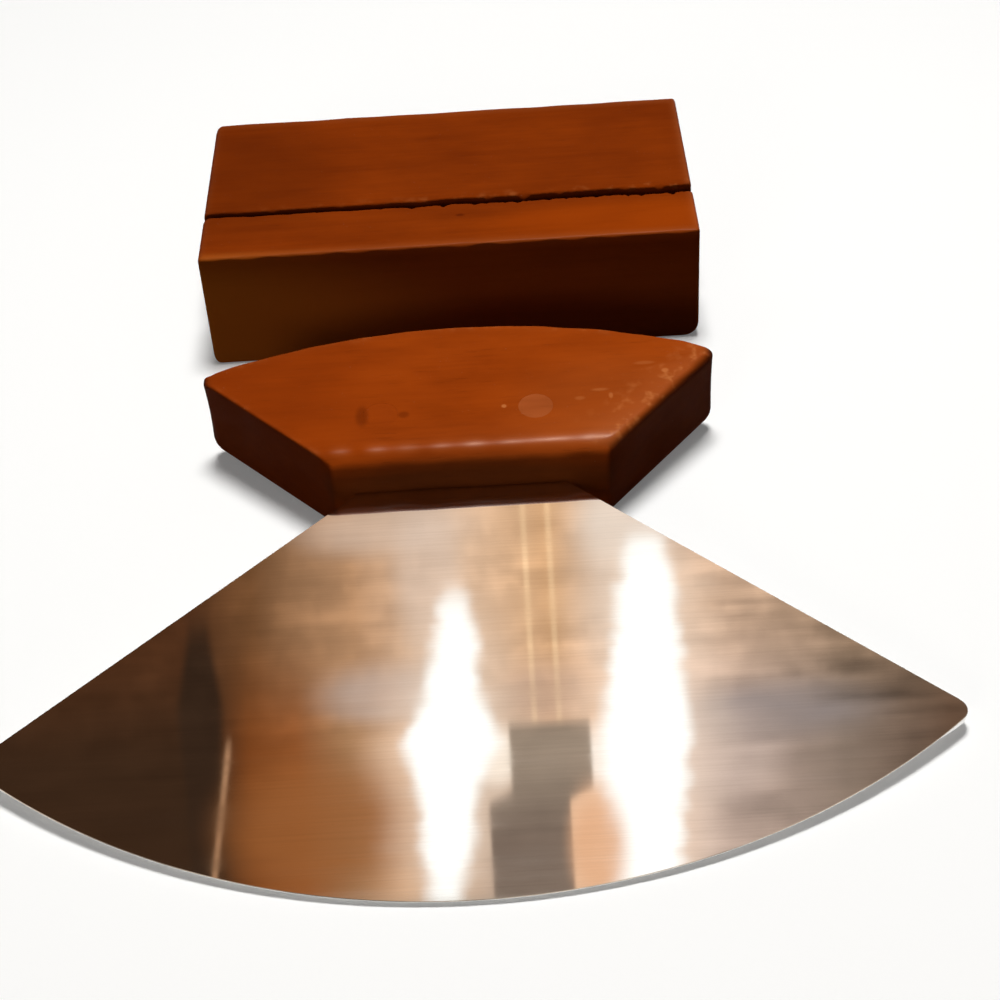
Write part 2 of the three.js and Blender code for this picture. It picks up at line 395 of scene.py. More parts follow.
def plate_mesh(name, rings, hole_radius, sides=64):
    """A flat plate on the knife: walls between its rings, two round dowel holes and two flat faces.

    The holes are circles at the two faces' heights. Each flat face is filled between its outline and holes.
    """
    turn = np.linspace(0, 2 * np.pi, sides, endpoint=False)
    rows, count = rings.shape[:2]
    points = [rings.reshape(-1, 3)]
    faces = ring_quads(rows, count)
    for side in (-1, 1):
        x = side * DOWEL_SPACING / 2 + hole_radius * np.cos(turn)
        y = DOWEL_HEIGHT + hole_radius * np.sin(turn)
        hole = np.stack([np.column_stack([x, y, np.full(sides, z)]) for z in (HALF_BLADE, -HALF_BLADE)])
        faces = np.vstack([faces, sum(map(len, points)) + ring_quads(2, sides)[:, ::-1]])
        points.append(hole.reshape(-1, 3))
    mesh = bpy.data.meshes.new(name)
    mesh.from_pydata(on_knife(np.vstack(points)).tolist(), [], faces.tolist())
    shape = bmesh.new()
    shape.from_mesh(mesh)
    face_up = Vector(KNIFE_TURN @ np.array([0, 0, 1]))
    middle = Vector(KNIFE_PLACE)
    rims = [edge for edge in shape.edges if edge.is_boundary]
    for outwards in (face_up, -face_up):
        rim = [edge for edge in rims if (edge.verts[0].co - middle).dot(outwards) > 0]
        bmesh.ops.triangle_fill(shape, use_beauty=True, edges=rim, normal=outwards)
    bmesh.ops.recalc_face_normals(shape, faces=shape.faces)
    shape.to_mesh(mesh)
    shape.free()
    return mesh


def make_blade():
    """The blade: its outline at four heights, drawn in by the chamfers, with the arc ground from below.

    Along the sides, the lowest two rings are a chamfer apart. Along the arc, the outer one is lifted to
    leave only the land of the cutting edge, and the inner one is drawn in by the width of the grind.
    """
    neck = -CLEARANCE
    outline, outwards, side = outline_from([
        (-BLADE_SPAN / 2, -BLADE_DROP, TIP_RADIUS, EDGE_SAGITTA),
        (BLADE_SPAN / 2, -BLADE_DROP, TIP_RADIUS, 0),
        (TANG_WIDTH / 2, neck, 0, 0),
        (TANG_WIDTH / 2, TANG_TOP, 0, 0),
        (-TANG_WIDTH / 2, TANG_TOP, 0, 0),
        (-TANG_WIDTH / 2, neck, 0, 0),
    ], 1 * MM)
    from_tip = BLADE_SPAN / 2 - np.abs(outline[:, 0])
    ground = np.where(side == 0, np.clip((from_tip - GRIND_START) / GRIND_RUN_IN, 0, 1), 0)
    lift = ground * (BLADE_THICKNESS - EDGE_LAND - BLADE_CHAMFER)
    flat = np.zeros(len(outline))
    heel = BLADE_CHAMFER + ground * (GRIND_WIDTH - BLADE_CHAMFER)
    insets = [flat + BLADE_CHAMFER, flat, flat, heel]
    heights = [flat + HALF_BLADE, flat + HALF_BLADE - BLADE_CHAMFER,
               BLADE_CHAMFER - HALF_BLADE + lift, flat - HALF_BLADE]
    rings = [np.column_stack([outline - outwards * inset[:, None], height])
             for inset, height in zip(insets, heights)]
    blade = new_object(plate_mesh("blade_plate", np.array(rings), DOWEL_DIAMETER / 2 + CLEARANCE))
    lay_brushing(blade.data)
    return blade


def lay_brushing(mesh):
    """A UV map whose first direction runs from foot to crown, across the brushing of the steel."""
    points = np.empty(len(mesh.vertices) * 3)
    mesh.vertices.foreach_get("co", points)
    corner_points = np.empty(len(mesh.loops), int)
    mesh.loops.foreach_get("vertex_index", corner_points)
    flat = (points.reshape(-1, 3) - KNIFE_PLACE) @ KNIFE_TURN
    layer = mesh.uv_layers.new(name="brushing")
    layer.data.foreach_set("uv", (flat[corner_points][:, 1::-1] * 5).reshape(-1))


def chips(x, coarse, fine, seed):
    """How deep an edge is chipped along X: the squared crests of a coarse wave plus those of a fine one."""
    coarse_crests = np.clip(ripple(x, coarse, seed), 0, None)
    fine_crests = np.clip(ripple(x, fine, seed + 1), 0, None)
    return coarse_crests ** 2 + 0.35 * fine_crests


def make_stand():
    """The stand: a cross-section with a slot in its top, carried along X.

    The section is eight corners, each a quarter circle with its own radius, with points along the sides
    between them. Towards each end the outer corners are drawn in along a quarter circle, and at the right
    end the base rises along a larger one. The radii of the slot's two mouth edges change along X, which
    leaves them chipped.
    """
    low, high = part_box("stand_block")
    turns = np.linspace(0, np.pi / 2, 7)
    outwards = 1 - np.sin(turns)
    inwards = 1 - np.cos(turns)
    left_x = low.x + STAND_LEFT_EASE * outwards[::-1]
    right_x = high.x - STAND_RIGHT_EASE * outwards
    run = np.arange(left_x[-1] + STAND_STEP, right_x[0] - STAND_STEP / 2, STAND_STEP)
    x = np.concatenate([left_x, run, right_x])
    inset = np.concatenate([STAND_LEFT_EASE * inwards[::-1], 0 * run, STAND_RIGHT_EASE * inwards])

    slot_middle = low.y + SLOT_SETBACK
    sway = 0.2 * MM * ripple(x, 22 * MM, 27)
    to_right = (x - low.x) / (high.x - low.x)
    half_slot = (HALF_BLADE + SLOT_CLEARANCE) * (0.72 + 0.52 * to_right)
    back_mouth = (0.45 + (0.1 + 0.6 * to_right) * chips(x, 7 * MM, 1.6 * MM, 21)) * MM
    front_mouth = (0.45 + (0.1 + 0.85 * to_right) * chips(x, 6 * MM, 1.4 * MM, 23)) * MM
    front_ease = (0.75 + 0.2 * ripple(x, 18 * MM, 25)) * MM
    back_ease = (1.0 + 0.2 * ripple(x, 25 * MM, 26)) * MM
    base_ease = np.full(len(x), EDGE_EASE)
    floor_ease = np.full(len(x), 0.3 * MM)

    into_corner = np.clip(1 - (high.x - x) / BASE_CORNER, 0, 1)
    lift = np.maximum(inset, BASE_CORNER * (1 - np.sqrt(1 - into_corner ** 2)))
    front = low.y + inset
    back = high.y - inset
    base = low.z + lift
    top = high.z - inset
    slot_back = slot_middle + sway + half_slot + inset / 2
    slot_front = slot_middle + sway - half_slot - inset / 2
    slot_floor = np.full(len(x), SLOT_FLOOR)
    corners = [  # Y, Z, radius and the number of steps to the next corner
        (front, base, base_ease, 14), (back, base, base_ease, 10), (back, top, back_ease, 16),
        (slot_back, top, back_mouth, 8), (slot_back, slot_floor, floor_ease, 3),
        (slot_front, slot_floor, floor_ease, 8), (slot_front, top, front_mouth, 10),
        (front, top, front_ease, 12),
    ]
    places = [np.stack(corner[:2], -1) for corner in corners]
    radii = [corner[2][:, None] for corner in corners]
    section = []
    for i, corner in enumerate(corners):
        ahead = (i + 1) % len(corners)
        back_along = places[i - 1] - places[i]
        reach = places[ahead] - places[i]
        span = np.linalg.norm(reach, axis=1, keepdims=True)
        before = back_along / np.linalg.norm(back_along, axis=1, keepdims=True)
        after = reach / span
        for out, on in zip(outwards, inwards):
            section.append(places[i] + radii[i] * (out * before + on * after))
        start = radii[i] / span
        end = 1 - radii[ahead] / span
        for share in np.arange(1, corner[3]) / corner[3]:
            section.append(places[i] + reach * (start + (end - start) * share))
    section = np.stack(section, 1)
    rings = np.concatenate([np.broadcast_to(x[:, None, None], section.shape[:2] + (1,)), section], -1)
    mesh = rings_mesh("stand_body", rings[::-1], None, None)
    gaps = np.sort(np.stack([
        rings[..., 0] - low.x, high.x - rings[..., 0], rings[..., 1] - low.y, high.y - rings[..., 1],
        rings[..., 2] - low.z, high.z - rings[..., 2],
    ], -1), -1)
    near_top = np.exp(-((high.z - rings[..., 2]) / (0.6 * MM)) ** 2)
    near_edge = np.exp(-((gaps[..., 0] + gaps[..., 1]) / (1.5 * MM)) ** 2)
    behind_slot = np.abs(rings[..., 1] - slot_middle - half_slot[:, None])
    near_slot = np.exp(-(behind_slot / (0.8 * MM)) ** 2)
    # Glossy top edges, stronger to the right. In the material they also get a lighter colour: a painted
    # highlight.
    glossy = (0.35 + 0.3 * to_right[:, None]) * near_top * near_edge
    # Behind the slot: wear. Its lighter colour also paints small glints along the slot's back edge.
    rubbed_and_glints = 0.6 * to_right[:, None] * near_top * near_slot
    keep_values(mesh, "rubbed_and_glints", rubbed_and_glints[::-1].reshape(-1))
    keep_values(mesh, "glossy", glossy[::-1].reshape(-1))
    return new_object(mesh)


def node(tree, kind, inputs=None, **settings):
    """A new shader node with its settings made, and its inputs set to values or joined to sockets."""
    made = tree.nodes.new("ShaderNode" + kind)
    for name, value in settings.items():
        setattr(made, name, value)
    for name, value in (inputs or {}).items():
        if isinstance(value, bpy.types.NodeSocket):
            tree.links.new(value, made.inputs[name])
        else:
            made.inputs[name].default_value = value
    return made


def calc(tree, operation, first, second=0.0, third=0.0):
    """A sum, product or other operation on numbers."""
    return node(tree, "Math", {0: first, 1: second, 2: third}, operation=operation).outputs[0]


def vector(tree, operation, first, second):
    """An operation on two vectors that gives a vector."""
    return node(tree, "VectorMath", {0: first, 1: second}, operation=operation).outputs["Vector"]


def length_of(tree, value):
    """The length of a vector."""
    return node(tree, "VectorMath", {0: value}, operation="LENGTH").outputs["Value"]


def remap(tree, value, low, high, to_low=0.0, to_high=1.0, kind="SMOOTHSTEP"):
    """A number eased from one range to another and held inside it."""
    made = node(tree, "MapRange", {"Value": value, "From Min": low, "From Max": high,
                                   "To Min": to_low, "To Max": to_high}, interpolation_type=kind)
    return made.outputs["Result"]


def blend(tree, factor, first, second):
    """Two colours mixed by a factor."""
    return node(tree, "Mix", {0: factor, 6: first, 7: second}, data_type="RGBA").outputs[2]


def noise(tree, place, scale, detail=2.0, rough=0.5):
    """Smooth noise around 0.5 at a number of cells to the metre."""
    made = node(tree, "TexNoise", {"Vector": place, "Scale": scale, "Detail": detail, "Roughness": rough})
    return made.outputs["Fac"]


def ramp(tree, factor, stops):
    """A run of colours, each at its place from 0 to 1."""
    made = node(tree, "ValToRGB", {"Fac": factor})
    elements = made.color_ramp.elements
    while len(elements) < len(stops):
        elements.new(0.5)
    for element, (place, colour) in zip(elements, stops):
        element.position = place
        element.color = (*colour, 1)
    return made.outputs["Color"]


def new_group(name, inputs, outputs):
    """An empty shader node group with its named inputs and outputs."""
    tree = bpy.data.node_groups.new(name, "ShaderNodeTree")
    for label, kind in inputs:
        tree.interface.new_socket(label, in_out="INPUT", socket_type="NodeSocket" + kind)
    for label, kind in outputs:
        tree.interface.new_socket(label, in_out="OUTPUT", socket_type="NodeSocket" + kind)
    return tree, tree.nodes.new("NodeGroupInput").outputs, tree.nodes.new("NodeGroupOutput").inputs


def use_group(tree, group, inputs):
    """A shared group placed in a material with its own values."""
    return node(tree, "Group", inputs, node_tree=group).outputs


def grain_group():
    """Straight wood grain along X: growth rings round a heart line, fine streaks and short open pores."""
    tree, given, gives = new_group(
        "wood_grain", [("Place", "Vector"), ("Heart", "Vector"), ("Ring width", "Float")],
        [("Rings", "Float"), ("Streaks", "Float"), ("Pores", "Float"), ("Relief", "Float")])
    place = given["Place"]
    slow = vector(tree, "MULTIPLY", place, (0.12, 1, 1))
    sway = calc(tree, "MULTIPLY_ADD", noise(tree, slow, 45, 2), 0.008, -0.004)
    from_heart = vector(tree, "MULTIPLY", vector(tree, "SUBTRACT", place, given["Heart"]), (0, 1, 1))
    radius = calc(tree, "ADD", length_of(tree, from_heart), sway)
    phase = calc(tree, "FRACT", calc(tree, "DIVIDE", radius, given["Ring width"]))
    late = calc(tree, "POWER", phase, 3)
    early = remap(tree, phase, 0, 0.12, 1, 0)
    tree.links.new(calc(tree, "MAXIMUM", late, early), gives["Rings"])
    stretched = vector(tree, "MULTIPLY", place, (0.035, 1, 1))
    streaks = noise(tree, stretched, 800, 4, 0.62)
    tree.links.new(streaks, gives["Streaks"])
    dashes = vector(tree, "MULTIPLY", place, (0.06, 1, 1))
    pores = remap(tree, noise(tree, dashes, 2600, 1), 0.66, 0.74)
    tree.links.new(pores, gives["Pores"])
    relief = calc(tree, "MULTIPLY_ADD", streaks, 0.5, calc(tree, "MULTIPLY", pores, -1))
    tree.links.new(relief, gives["Relief"])
    return tree


def handling_group():
    """What hands leave behind: broad smears, fine dust specks and small dents, all as numbers."""
    tree, given, gives = new_group(
        "handling", [("Place", "Vector")], [("Smears", "Float"), ("Specks", "Float"), ("Dents", "Float")])
    place = given["Place"]
    smears = noise(tree, vector(tree, "MULTIPLY", place, (0.6, 1, 1)), 55, 4, 0.6)
    tree.links.new(remap(tree, smears, 0.35, 0.7), gives["Smears"])
    specks = remap(tree, noise(tree, place, 2300, 2), 0.72, 0.78)
    tree.links.new(specks, gives["Specks"])
    cells = node(tree, "TexVoronoi", {"Vector": place, "Scale": 330.0})
    dents = remap(tree, cells.outputs["Distance"], 0.05, 0.3, 1, 0)
    dents = calc(tree, "MULTIPLY", dents, remap(tree, noise(tree, place, 120), 0.48, 0.6))
    tree.links.new(dents, gives["Dents"])
    return tree


def spot_group():
    """A soft spot: 1 at its middle, falling to 0 at its reach, which may differ along the three axes."""
    tree, given, gives = new_group(
        "soft_spot", [("Place", "Vector"), ("Middle", "Vector"), ("Reach", "Vector")], [("Mask", "Float")])
    away = vector(tree, "SUBTRACT", given["Place"], given["Middle"])
    share = length_of(tree, vector(tree, "DIVIDE", away, given["Reach"]))
    tree.links.new(remap(tree, share, 0.35, 1, 1, 0), gives["Mask"])
    return tree


GRAIN = grain_group()
HANDLING = handling_group()
SPOT = spot_group()


def soft_spot(tree, place, middle, reach):
    """How deep in a soft spot a place lies, from 0 to 1."""
    return use_group(tree, SPOT, {"Place": place, "Middle": middle, "Reach": reach})["Mask"]


def kept_value(tree, name):
    """The number that was kept for each point of the mesh."""
    return node(tree, "Attribute", attribute_name=name).outputs["Fac"]


def darker(colour, share):
    """A share of a colour, with its alpha."""
    return (*[share * channel for channel in colour], 1)


def new_material(name):
    """A material with its tree, its Principled shader and the place on the object."""
    material = bpy.data.materials.new(name)
    material.use_nodes = True
    tree = material.node_tree
    place = tree.nodes.new("ShaderNodeTexCoord").outputs["Object"]
    return material, tree, tree.nodes["Principled BSDF"], place


# A lighter colour for worn varnish, also used for painted glints and painted highlights.
WORN_AND_GLINT_COLOUR = (0.6, 0.2, 0.055)


def wood_material(name, dark, light, heart, ring_width, matt, patches=()):
    """Varnished wood, with a grain from dark to light and soft patches of other colours.

    A patch is (middle, reach, strength, colour); some patches are painted light and shade. matt is the
    roughness away from the glossy edges. Glossy and rubbed places are also lightened, which paints
    highlights and glints over real wear, and the sides' end grain is darkened, which is also painted shade.
    """
    material, tree, shader, place = new_material(name)
    grain = use_group(tree, GRAIN, {"Place": place, "Heart": heart, "Ring width": ring_width})
    hands = use_group(tree, HANDLING, {"Place": place})
    rubbed_and_glints = kept_value(tree, "rubbed_and_glints")
    glossy = kept_value(tree, "glossy")
    end_grain_and_shade = kept_value(tree, "end_grain_and_shade")

    cloud = noise(tree, vector(tree, "MULTIPLY", place, (0.6, 1, 1)), 55, 3)
    figure = noise(tree, vector(tree, "MULTIPLY", place, (0.3, 1, 1)), 230, 3)
    tone = calc(tree, "MULTIPLY_ADD", grain["Streaks"], 0.22, -0.07)
    tone = calc(tree, "MULTIPLY_ADD", grain["Rings"], -0.045, tone)
    tone = calc(tree, "MULTIPLY_ADD", figure, 0.3, tone)
    tone = calc(tree, "MULTIPLY_ADD", cloud, 0.5, tone)
    colour = blend(tree, remap(tree, tone, 0.05, 0.75), (*dark, 1), (*light, 1))
    colour = blend(tree, calc(tree, "MULTIPLY", grain["Pores"], 0.18), colour, darker(dark, 0.35))
    for middle, reach, strength, tint in patches:
        patch = calc(tree, "MULTIPLY", soft_spot(tree, place, middle, reach), strength)
        colour = blend(tree, patch, colour, (*tint, 1))
    # Darker end grain on the sides, which is also painted shade.
    colour = blend(tree, calc(tree, "MULTIPLY", end_grain_and_shade, 1.2), colour, darker(dark, 0.25))
    # Lighter colour where rubbed, which is wear and painted glints, and along glossy edges, which is a
    # painted highlight.
    bare_and_glinting = calc(tree, "MULTIPLY", rubbed_and_glints, remap(tree, noise(tree, place, 330, 2, 0.5), 0.5, 0.75))
    worn = calc(tree, "MULTIPLY_ADD", bare_and_glinting, 0.6, calc(tree, "MULTIPLY", glossy, 0.18))
    colour = blend(tree, worn, colour, (*WORN_AND_GLINT_COLOUR, 1))
    colour = blend(tree, calc(tree, "MULTIPLY", hands["Specks"], 0.12), colour, (0.5, 0.42, 0.35, 1))
    tree.links.new(colour, shader.inputs["Base Color"])

    rough = calc(tree, "MULTIPLY_ADD", hands["Smears"], 0.1, matt)
    rough = calc(tree, "MULTIPLY_ADD", glossy, -0.5, rough)
    tree.links.new(rough, shader.inputs["Roughness"])
    pits = calc(tree, "MULTIPLY", hands["Dents"], calc(tree, "MULTIPLY_ADD", rubbed_and_glints, 5, 0.2))
    relief = calc(tree, "SUBTRACT", grain["Relief"], pits)
    bump = node(tree, "Bump", {"Height": relief, "Strength": 0.25, "Distance": 0.08 * MM})
    tree.links.new(bump.outputs["Normal"], shader.inputs["Normal"])
    lacquer = calc(tree, "MULTIPLY", calc(tree, "POWER", glossy, 2), 0.25)
    tree.links.new(lacquer, shader.inputs["Coat Weight"])
    shader.inputs["Coat Roughness"].default_value = 0.34
    shader.inputs["Specular IOR Level"].default_value = 0.05
    shader.inputs["Specular Tint"].default_value = (1, 0.42, 0.09, 1)
    return material


def steel_material():
    """Mirror-polished steel with fine brushing along X."""
    material, tree, shader, place = new_material("blade_steel")
    hands = use_group(tree, HANDLING, {"Place": place})
    fine = noise(tree, vector(tree, "MULTIPLY", place, (0.012, 1, 1)), 2600, 3, 0.6)
    broad = noise(tree, vector(tree, "MULTIPLY", place, (0.1, 1, 1)), 150, 4, 0.6)
    colour = blend(tree, fine, (0.72, 0.70, 0.67, 1), (0.84, 0.82, 0.79, 1))
    colour = blend(tree, calc(tree, "MULTIPLY", hands["Specks"], 0.25), colour, (0.42, 0.38, 0.34, 1))
    tree.links.new(colour, shader.inputs["Base Color"])
    rough = calc(tree, "MULTIPLY_ADD", remap(tree, broad, 0.4, 0.7), 0.02, 0.025)
    rough = calc(tree, "MULTIPLY_ADD", hands["Smears"], 0.015, rough)
    tree.links.new(rough, shader.inputs["Roughness"])
    waves = noise(tree, vector(tree, "MULTIPLY", place, (0.5, 1, 1)), 22, 1)
    relief = calc(tree, "MULTIPLY_ADD", fine, 0.02, waves)
    bump = node(tree, "Bump", {"Height": relief, "Strength": 0.05, "Distance": 0.1 * MM})
    tree.links.new(bump.outputs["Normal"], shader.inputs["Normal"])
    across = node(tree, "Tangent", direction_type="UV_MAP", uv_map="brushing").outputs["Tangent"]
    tree.links.new(across, shader.inputs["Tangent"])
    shader.inputs["Metallic"].default_value = 1
    shader.inputs["Anisotropic"].default_value = 0.75
    return material


def spot_on_knife(x, y, z):
    """A place on the knife, in millimetres along the handle, from the foot and above the mid-plane."""
    return tuple(on_knife(np.array([x, y, z]) * MM))


# Patches of colour on the wood: middle, reach, strength and colour. The glue stains are the wood's own
# colour; the other lists are mostly painted shade, sheen, light and glints.
FACE = HALF_HANDLE / MM
GLUE = (0.07, 0.006, 0.0004)
GLUE_STAINS = [
    (spot_on_knife(-22.2, 14.8, FACE), (2.1 * MM, 4.6 * MM, 3 * MM), 0.42, GLUE),
    (spot_on_knife(-12.6, 14.6, FACE), (1.8 * MM, 1.5 * MM, 3 * MM), 0.36, GLUE),
]
HANDLE_PAINTED_SHADE_AND_SHEEN = [
    # Painted shade: the left of the face darker.
    (spot_on_knife(-54, 26, FACE), (48 * MM, 45 * MM, 12 * MM), 0.4, (0.17, 0.019, 0.0008)),
    # Painted sheen: the right of the face lighter and greyer.
    (spot_on_knife(40, 14, FACE), (36 * MM, 26 * MM, 6 * MM), 0.3, (0.4, 0.085, 0.013)),
    # Painted shade on the foot's wall and bevel, where it meets the blade.
    (spot_on_knife(2, 0, 2), (60 * MM, 4 * MM, 10 * MM), 0.55, (0.055, 0.028, 0.009)),
]
# Painted glints: small lighter spots that stand for highlights on the face's dents.
PAINTED_GLINTS = [
    (spot_on_knife(x, y, FACE), (wide * MM, tall * MM, 3 * MM), strength, WORN_AND_GLINT_COLOUR)
    for x, y, wide, tall, strength in (
        (10.6, 15.5, 0.8, 0.8, 0.6), (28.2, 16.7, 1.6, 0.9, 0.2), (33, 19.2, 2.6, 0.7, 0.25),
        (35.4, 17, 0.7, 1.3, 0.4), (48.6, 24.5, 1.2, 1, 0.5), (44, 27.5, 3.2, 0.8, 0.2))
]
STAND_MARKS_AND_PAINTED_LIGHT = [
    ((3.2 * MM, -19.7 * MM, 32.5 * MM), (1.6 * MM, 0.9 * MM, 1 * MM), 0.6, GLUE),
    # Painted shade: the top darker towards the left.
    ((-60 * MM, 5 * MM, 32.5 * MM), (45 * MM, 40 * MM, 14 * MM), 0.4, (0.07, 0.009, 0.0006)),
    # Painted light: the front strip of the top lighter on the right.
    ((44 * MM, -25 * MM, 32.5 * MM), (50 * MM, 11 * MM, 5 * MM), 0.36, (0.43, 0.062, 0.0012)),
    # Painted light: the front face lighter at the left.
    ((-66 * MM, -33 * MM, 10 * MM), (80 * MM, 6 * MM, 28 * MM), 0.85, (0.64, 0.18, 0.017)),
    # Painted light: the whole front face lighter.
    ((0, -33 * MM, 10 * MM), (120 * MM, 6 * MM, 30 * MM), 0.4, (0.4, 0.08, 0.012)),
]
stand_wood = wood_material(
    "stand_wood", dark=(0.13, 0.016, 0.0008), light=(0.25, 0.037, 0.0022),
    heart=(0, 20 * MM, -60 * MM), ring_width=4.2 * MM, matt=0.75, patches=STAND_MARKS_AND_PAINTED_LIGHT)
handle_wood = wood_material(
    "handle_wood", dark=(0.2, 0.026, 0.0012), light=(0.36, 0.056, 0.0035),
    heart=(0, -60 * MM, -50 * MM), ring_width=3.6 * MM, matt=0.7,
    patches=HANDLE_PAINTED_SHADE_AND_SHEEN + GLUE_STAINS + PAINTED_GLINTS)
left_wood = wood_material(
    "dowel_wood", dark=(0.2, 0.026, 0.0014), light=(0.34, 0.052, 0.0035),
    heart=tuple(LEFT_DOWEL + [0, 3 * MM, 0]), ring_width=1.1 * MM, matt=0.7, patches=GLUE_STAINS)
right_wood = wood_material(
    "dowel_wood_pale", dark=(0.27, 0.054, 0.01), light=(0.4, 0.092, 0.022),
    heart=tuple(RIGHT_DOWEL + [0, 2 * MM, 0]), ring_width=1.1 * MM, matt=0.7)

finish_piece(make_stand(), "stand", "stand_block", stand_wood, 50)
finish_piece(make_handle(), "knife", "handle_block", handle_wood, 50)
finish_piece(make_blade(), "knife", "blade", steel_material(), 15)
upper_rim = HALF_HANDLE - DOWEL_SINK
for side, label, material in ((-1, "left", left_wood), (1, "right", right_wood)):
    bar = round_bar("pin_" + label, side, DOWEL_DIAMETER / 2, -HALF_HANDLE, upper_rim, DOWEL_DOME)
    finish_piece(new_object(bar), "knife", "dowel_" + label, material, 50)


def add_camera():
    """The photograph's camera, fitted to the corners of the stand, the handle and the blade."""
    data = bpy.data.cameras.new("camera")
    data.lens = 72.99
    data.sensor_width = 36
    camera = bpy.data.objects.new("camera", data)
    place = Matrix.Translation((14.1 * MM, -457.15 * MM, 310.6 * MM))
    yaw = Matrix.Rotation(math.radians(0.74), 4, "Z")
    look_down = Matrix.Rotation(math.radians(90 - 40.5), 4, "X")
    roll = Matrix.Rotation(math.radians(-3.87), 4, "Z")
    camera.matrix_world = place @ yaw @ look_down @ roll
    bpy.context.scene.collection.objects.link(camera)
    bpy.context.scene.camera = camera


def flat_sheet(name, width, depth):
    """A flat sheet in its own XY plane, which isn't part of the object."""
    x = width / 2
    y = depth / 2
    mesh = bpy.data.meshes.new(name)
    mesh.from_pydata([(-x, -y, 0), (x, -y, 0), (x, y, 0), (-x, y, 0)], [], [(0, 1, 2, 3)])
    sheet = new_object(mesh)
    return sheet


def add_floor():
    """A pale floor: bright to the eye and to the steel, but throwing little light back on the wood."""
    floor = flat_sheet("floor", 8, 8)
    floor.location.z = -0.05 * MM
    material, tree, shader, place = new_material("floor")
    path = tree.nodes.new("ShaderNodeLightPath").outputs
    seen = calc(tree, "MAXIMUM", path["Is Camera Ray"], path["Is Glossy Ray"])
    seen = calc(tree, "MAXIMUM", seen, path["Is Transmission Ray"])
    far = remap(tree, length_of(tree, place), 0.35, 1.1)
    lit = blend(tree, seen, (0.03, 0.03, 0.03, 1), (0.87, 0.88, 0.89, 1))
    tree.links.new(blend(tree, far, lit, (0, 0, 0, 1)), shader.inputs["Base Color"])
    glow = calc(tree, "MULTIPLY_ADD", far, 0.86, 0.14)
    tree.links.new(calc(tree, "MULTIPLY", seen, glow), shader.inputs["Emission Strength"])
    shader.inputs["Emission Color"].default_value = (0.96, 0.96, 0.96, 1)
    shader.inputs["Roughness"].default_value = 0.9
    shader.inputs["Specular IOR Level"].default_value = 0
    floor.data.materials.append(material)


def add_lamp(name, place, aim, width, depth, watts, colour):
    """A soft rectangular lamp that faces a point."""
    data = bpy.data.lights.new(name, "AREA")
    data.shape = "RECTANGLE"
    data.size = width
    data.size_y = depth
    data.energy = watts
    data.color = colour
    lamp = bpy.data.objects.new(name, data)
    lamp.location = place
    lamp.rotation_euler = (Vector(aim) - Vector(place)).to_track_quat("-Z", "Y").to_euler()
    bpy.context.scene.collection.objects.link(lamp)
    return lamp


# The mirrored room, in metres across and up the card. Bands: share of the card's width, and colour.
CARD_WIDTH = 0.8
CARD_DEPTH = 0.32
HIGH_BANDS = [
    (0.22, (0.042, 0.02, 0.01)), (0.25, (0.19, 0.055, 0.013)), (0.295, (0.28, 0.088, 0.024)),
    (0.34, (0.36, 0.19, 0.09)), (0.39, (0.62, 0.36, 0.2)), (0.47, (0.5, 0.36, 0.27)),
    (0.575, (0.85, 0.52, 0.32)), (0.675, (0.62, 0.47, 0.4)), (0.81, (0.22, 0.165, 0.13)),
    (0.91, (0.12, 0.07, 0.045)),
]
LOW_BANDS = [
    (0.2, (0.08, 0.03, 0.012)), (0.26, (0.17, 0.075, 0.03)), (0.355, (0.48, 0.27, 0.145)),
    (0.45, (0.74, 0.52, 0.37)), (0.54, (0.68, 0.4, 0.21)), (0.59, (0.66, 0.5, 0.39)),
    (0.68, (0.7, 0.48, 0.34)), (0.82, (0.28, 0.18, 0.11)),
]
# Soft hazes: middle, reach, strength and colour.
HAZES = [
    ((-0.09, -0.123, 0), (0.09, 0.028, 1), 0.6, (0.66, 0.52, 0.43)),
    ((-0.059, -0.085, 0), (0.035, 0.075, 1), 0.5, (0.72, 0.58, 0.49)),
    ((0.092, -0.115, 0), (0.05, 0.045, 1), 0.75, (0.84, 0.73, 0.64)),
    ((0.19, 0.03, 0), (0.11, 0.03, 1), 0.7, (0.27, 0.235, 0.235)),
    ((-0.15, 0.1, 0), (0.1, 0.07, 1), 0.75, (0.3, 0.108, 0.032)),
    ((-0.09, 0.002, 0), (0.075, 0.03, 1), 0.6, (0.53, 0.45, 0.42)),
    ((0.15, 0.06, 0), (0.07, 0.05, 1), 0.5, (0.62, 0.5, 0.45)),
    ((0.025, 0.006, 0), (0.052, 0.03, 1), 0.45, (0.45, 0.32, 0.26)),
    ((-0.014, 0.053, 0), (0.024, 0.03, 1), 0.9, (1.05, 0.97, 0.86)),
    ((0.068, 0.058, 0), (0.026, 0.036, 1), 0.9, (1.05, 1.02, 0.97)),
]
# Half widths of a dark post, at shares of the lit height.
POST_WIDTHS = [(0.25, 0.008), (0.36, 0.013), (0.45, 0.017), (0.54, 0.015), (0.64, 0.012), (0.84, 0.0085)]
# Lamp glows: middle, slant, and half widths at shares of the lit height.
GLOWS = [
    (-0.045, -0.09, [
        (0.12, 0), (0.18, 0.008), (0.28, 0.013), (0.43, 0.018), (0.52, 0.028), (0.59, 0.036), (0.66, 0.025),
        (0.73, 0.019), (0.86, 0.018), (0.97, 0.011)]),
    (0.101, -0.055, [
        (0.03, 0), (0.08, 0.014), (0.2, 0.02), (0.43, 0.027), (0.59, 0.034), (0.7, 0.029), (0.86, 0.025)]),
]


def from_line(tree, across, up, middle, slant=0.0):
    """How far across the card a place is from a line that slants by a share of its height."""
    line = calc(tree, "MULTIPLY_ADD", up, slant, middle)
    return calc(tree, "ABSOLUTE", calc(tree, "SUBTRACT", across, line))


def width_at(tree, height, half_widths):
    """A half width that changes with the height."""
    return ramp(tree, height, [(share, (half, half, half)) for share, half in half_widths])


